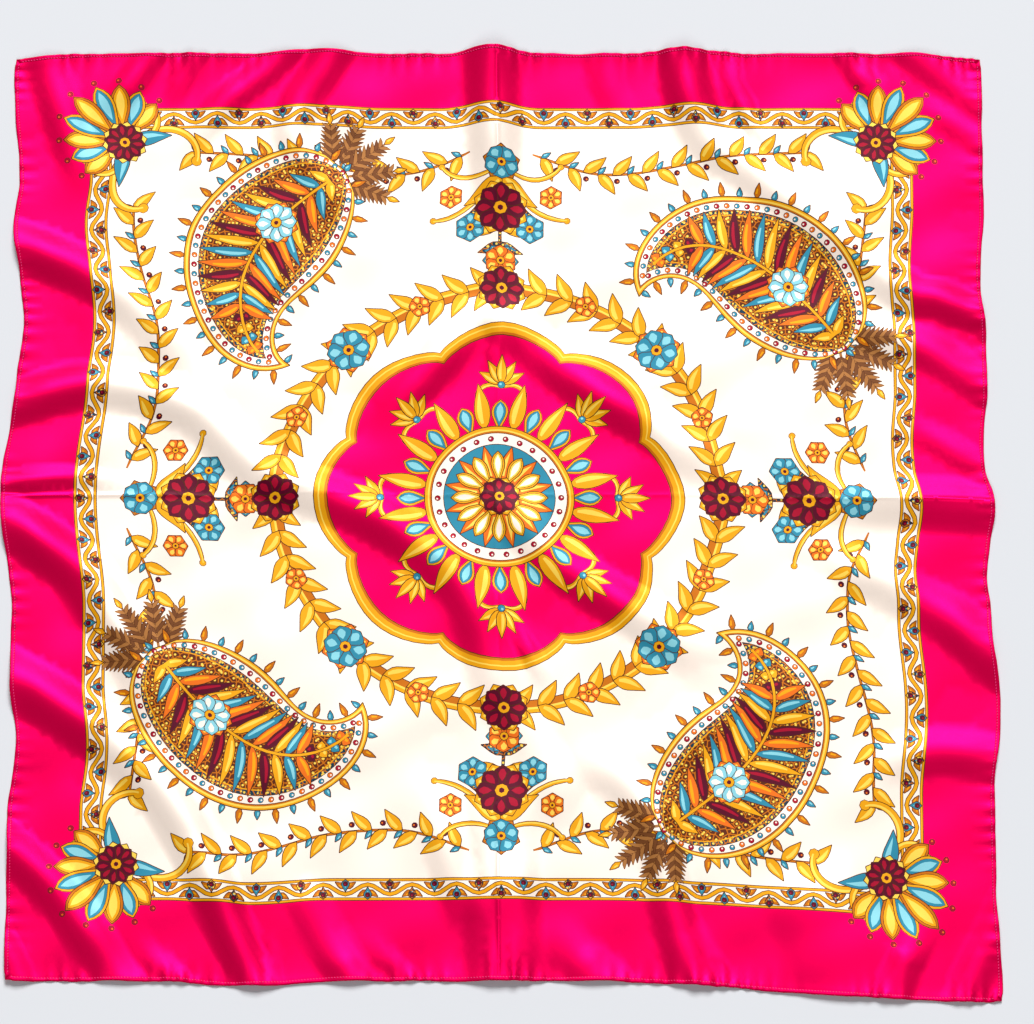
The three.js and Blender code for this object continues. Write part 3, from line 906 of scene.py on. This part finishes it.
# One stitch, made once and repeated along the hem
def buildStitches(side):
    run, edge, ahead, outward = hemFrame[side]
    edge = edge[1:-1] + hem["stitchAt"][0] * outward[1:-1] + (0, 0, hem["stitchAt"][1])
    line = bpy.data.curves.new("stitchLine", "CURVE")
    line.dimensions = "3D"
    line.twist_mode = "Z_UP"
    spline = line.splines.new("POLY")
    spline.points.add(len(edge) - 1)
    spline.points.foreach_set("co", np.concatenate([edge * mm, np.ones((len(edge), 1))], 1).ravel())
    guide = bpy.data.objects.new("stitchGuide", line)
    bpy.context.scene.collection.objects.link(guide)
    long = float(np.linalg.norm(np.diff(edge, axis=0), axis=1).sum())
    bpy.ops.object.select_all(action="DESELECT")
    bpy.ops.mesh.primitive_uv_sphere_add(segments=6, ring_count=5, radius=mm)
    piece = bpy.context.object
    piece.name = "hem_stitches_" + side
    bpy.ops.object.mode_set(mode="EDIT")
    bpy.ops.mesh.select_all(action="SELECT")
    bpy.ops.transform.resize(value=(1.0, 0.5, 0.36))
    bpy.ops.transform.rotate(value=math.radians(22), orient_axis="Z", center_override=(0, 0, 0))
    bpy.ops.transform.translate(value=(hem["stitch"] / 2 * mm, 0, 0))
    bpy.ops.object.mode_set(mode="OBJECT")
    bpy.ops.object.shade_smooth()
    repeat = piece.modifiers.new("repeat", "ARRAY")
    repeat.use_relative_offset = False
    repeat.use_constant_offset = True
    repeat.constant_offset_displace = (hem["stitch"] * mm, 0, 0)
    repeat.count = int(long / hem["stitch"])
    follow = piece.modifiers.new("follow", "CURVE")
    follow.object = guide
    for modifier in ("repeat", "follow"):
        bpy.ops.object.modifier_apply(modifier=modifier)
    bpy.data.objects.remove(guide)
    bpy.data.curves.remove(line)
    return piece


hems = {side: buildHem(side) for side in hemRuns}
stitches = {side: buildStitches(side) for side in hemRuns}
print("hems turned and stitched")


def addNode(tree, kind, **settings):
    added = tree.nodes.new("ShaderNode" + kind)
    for name, value in settings.items():
        setattr(added, name, value)
    return added


# The weave of satin: fine threads that run the length of the cloth, and broad unevenness of dye
def satinWeaveGroup():
    group = bpy.data.node_groups.new("satinWeave", "ShaderNodeTree")
    face = group.interface
    face.new_socket("Dye", in_out="INPUT", socket_type="NodeSocketColor")
    for name, value in (("Roughness", 0.4), ("Thread Tone", 0.06), ("Thread Gloss", 0.12), ("Cloud", 0.05)):
        face.new_socket(name, in_out="INPUT", socket_type="NodeSocketFloat").default_value = value
    face.new_socket("Base Color", in_out="OUTPUT", socket_type="NodeSocketColor")
    face.new_socket("Roughness", in_out="OUTPUT", socket_type="NodeSocketFloat")
    face.new_socket("Height", in_out="OUTPUT", socket_type="NodeSocketFloat")
    given, result = group.nodes.new("NodeGroupInput"), group.nodes.new("NodeGroupOutput")
    place = addNode(group, "TexCoord")

    def threads(scale, detail):
        mapping = addNode(group, "Mapping")
        mapping.inputs["Scale"].default_value = scale
        noise = addNode(group, "TexNoise")
        noise.inputs["Scale"].default_value = 1.0
        noise.inputs["Detail"].default_value = detail
        group.links.new(place.outputs["Object"], mapping.inputs["Vector"])
        group.links.new(mapping.outputs["Vector"], noise.inputs["Vector"])
        return noise.outputs["Fac"]

    def joined(operation, first, second):
        step = addNode(group, "Math", operation=operation)
        for socket, value in zip(step.inputs, (first, second)):
            if isinstance(value, (int, float)):
                socket.default_value = value
            else:
                group.links.new(value, socket)
        return step.outputs[0]

    warp = threads((3800, 230, 230), 2)
    weft = threads((260, 2300, 260), 1)
    cloud = threads((9, 9, 9), 3)
    woven = joined("ADD", joined("MULTIPLY", warp, 0.7), joined("MULTIPLY", weft, 0.3))
    lean = joined("SUBTRACT", woven, 0.5)
    clouded = joined("MULTIPLY", joined("SUBTRACT", cloud, 0.5), given.outputs["Cloud"])
    tone = joined("ADD", joined("MULTIPLY", lean, given.outputs["Thread Tone"]), clouded)
    gloss = joined("MULTIPLY", lean, given.outputs["Thread Gloss"])
    rough = joined("ADD", given.outputs["Roughness"], gloss)
    scaled = addNode(group, "VectorMath", operation="SCALE")
    group.links.new(given.outputs["Dye"], scaled.inputs[0])
    group.links.new(joined("ADD", tone, 1.0), scaled.inputs["Scale"])
    group.links.new(scaled.outputs[0], result.inputs["Base Color"])
    group.links.new(rough, result.inputs["Roughness"])
    group.links.new(woven, result.inputs["Height"])
    return group


def linear(rgb):
    c = np.array(rgb) / 255
    return tuple(np.where(c < 0.04045, c / 12.92, ((c + 0.055) / 1.055) ** 2.4)) + (1.0,)


# A fine net with a dot in each mesh, printed over the dark grounds
def goldNetGroup():
    group = bpy.data.node_groups.new("goldNet", "ShaderNodeTree")
    face = group.interface
    face.new_socket("Dye", in_out="INPUT", socket_type="NodeSocketColor")
    face.new_socket("Amount", in_out="INPUT", socket_type="NodeSocketFloat")
    face.new_socket("Meshes", in_out="INPUT", socket_type="NodeSocketFloat").default_value = 190.0
    face.new_socket("Base Color", in_out="OUTPUT", socket_type="NodeSocketColor")
    given, result = group.nodes.new("NodeGroupInput"), group.nodes.new("NodeGroupOutput")
    place = addNode(group, "TexCoord")
    colour = given.outputs["Dye"]
    for feature, reach, ink in (("DISTANCE_TO_EDGE", 0.09, "deepGold"), ("F1", 0.2, "lightGold")):
        cells = addNode(group, "TexVoronoi", voronoi_dimensions="2D", feature=feature)
        group.links.new(place.outputs["Object"], cells.inputs["Vector"])
        group.links.new(given.outputs["Meshes"], cells.inputs["Scale"])
        inked = addNode(group, "MapRange")
        inked.inputs["From Min"].default_value = 1.25 * reach
        inked.inputs["From Max"].default_value = 0.75 * reach
        group.links.new(cells.outputs["Distance"], inked.inputs["Value"])
        amount = addNode(group, "Math", operation="MULTIPLY")
        group.links.new(inked.outputs["Result"], amount.inputs[0])
        group.links.new(given.outputs["Amount"], amount.inputs[1])
        mixed = addNode(group, "Mix", data_type="RGBA")
        group.links.new(amount.outputs[0], mixed.inputs[0])
        group.links.new(colour, mixed.inputs[6])
        mixed.inputs[7].default_value = linear(dyes[ink])
        colour = mixed.outputs[2]
    group.links.new(colour, result.inputs["Base Color"])
    return group


satinWeave = satinWeaveGroup()
goldNet = goldNetGroup()
finishes = dict(
    pinkSatin=dict(rough=0.40, metallic=0.55, specular=0.45, tint=(1.0, 0.035, 0.9, 1), bump=0.00003),
    printSatin=dict(rough=0.42, metallic=0.2, specular=0.12, tint=(1, 1, 1, 1), bump=0.00003, net=True),
    satinBack=dict(rough=0.6, metallic=0.0, specular=0.4, tint=(1, 1, 1, 1), bump=0.00004),
    # The hem is the pink cloth rolled over; its darker dye is painted shade along the rolled edge
    shadedHemSatin=dict(rough=0.42, metallic=0.40, specular=0.4, tint=(1.0, 0.01, 0.9, 1), bump=0.00003,
                  dye=(220, 0, 66)),
    # The stitch thread's paler pink dye is painted highlight on the stitches
    highlitHemThread=dict(rough=0.45, metallic=0.0, specular=0.4, tint=(1, 0.6, 0.9, 1), bump=0.00002,
                   dye=(244, 56, 128)),
)


def satin(name):
    finish = finishes[name]
    material = bpy.data.materials.new(name)
    material.use_nodes = True
    tree = material.node_tree
    shader = tree.nodes["Principled BSDF"]
    weave = tree.nodes.new("ShaderNodeGroup")
    weave.node_tree = satinWeave
    if "dye" in finish:
        weave.inputs["Dye"].default_value = linear(finish["dye"])
    else:
        dyed = addNode(tree, "Attribute", attribute_name="dye").outputs["Color"]
        if finish.get("net"):
            net = tree.nodes.new("ShaderNodeGroup")
            net.node_tree = goldNet
            netted = addNode(tree, "Attribute", attribute_name="net")
            tree.links.new(dyed, net.inputs["Dye"])
            tree.links.new(netted.outputs["Fac"], net.inputs["Amount"])
            dyed = net.outputs["Base Color"]
        tree.links.new(dyed, weave.inputs["Dye"])
    weave.inputs["Roughness"].default_value = finish["rough"]
    bump = addNode(tree, "Bump")
    bump.inputs["Distance"].default_value = finish["bump"]
    tree.links.new(weave.outputs["Height"], bump.inputs["Height"])
    tree.links.new(bump.outputs["Normal"], shader.inputs["Normal"])
    tree.links.new(weave.outputs["Base Color"], shader.inputs["Base Color"])
    tree.links.new(weave.outputs["Roughness"], shader.inputs["Roughness"])
    shader.inputs["Metallic"].default_value = finish["metallic"]
    shader.inputs["Specular IOR Level"].default_value = finish["specular"]
    shader.inputs["Specular Tint"].default_value = finish["tint"]
    return material


for name in ("pinkSatin", "printSatin", "satinBack"):
    scarfCloth.data.materials.append(satin(name))
shadedHemSatin = satin("shadedHemSatin")
highlitHemThread = satin("highlitHemThread")
for side in hemRuns:
    hems[side].data.materials.append(shadedHemSatin)
    stitches[side].data.materials.append(highlitHemThread)
print("satin finished")

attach(scarfCloth, "root")
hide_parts("silk_square")
for side in hemRuns:
    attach(hems[side], "root")
    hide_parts("hem_" + side)
    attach(stitches[side], "root")

studio = dict(
    floor=12.0, floorColour=(221, 223, 227),
    key=dict(at=(1.2, 13.0, 15.2), size=(8.5, 10.0), power=4450.0),
    fill=dict(at=(0.0, -8.0, 8.0), size=(6.0, 6.0), power=400.0, gloss=False),
    sky=(0.94, 0.96, 1.0), skyStrength=0.12,
)
bpy.ops.mesh.primitive_plane_add(size=studio["floor"])
floor = bpy.context.object
floor.name = "paleFloor"
paper = bpy.data.materials.new("palePaper")
paper.use_nodes = True
paper.node_tree.nodes["Principled BSDF"].inputs["Base Color"].default_value = linear(studio["floorColour"])
paper.node_tree.nodes["Principled BSDF"].inputs["Roughness"].default_value = 0.7
paper.node_tree.nodes["Principled BSDF"].inputs["Specular IOR Level"].default_value = 0.2
floor.data.materials.append(paper)
for name in ("key", "fill"):
    lamp = studio[name]
    place = Vector(lamp["at"])
    towardsMiddle = (-place).to_track_quat("-Z", "Y").to_euler()
    bpy.ops.object.light_add(type="AREA", location=place, rotation=towardsMiddle)
    bpy.context.object.name = name + "Light"
    light = bpy.context.object.data
    light.shape = "RECTANGLE"
    light.size, light.size_y = lamp["size"]
    light.energy = lamp["power"]
    bpy.context.object.visible_glossy = lamp.get("gloss", True)
sky = bpy.data.worlds.new("softRoom")
sky.use_nodes = True
sky.node_tree.nodes["Background"].inputs["Color"].default_value = (*studio["sky"], 1)
sky.node_tree.nodes["Background"].inputs["Strength"].default_value = studio["skyStrength"]
bpy.context.scene.world = sky
bpy.context.scene.view_settings.view_transform = "Standard"
print("studio lit")
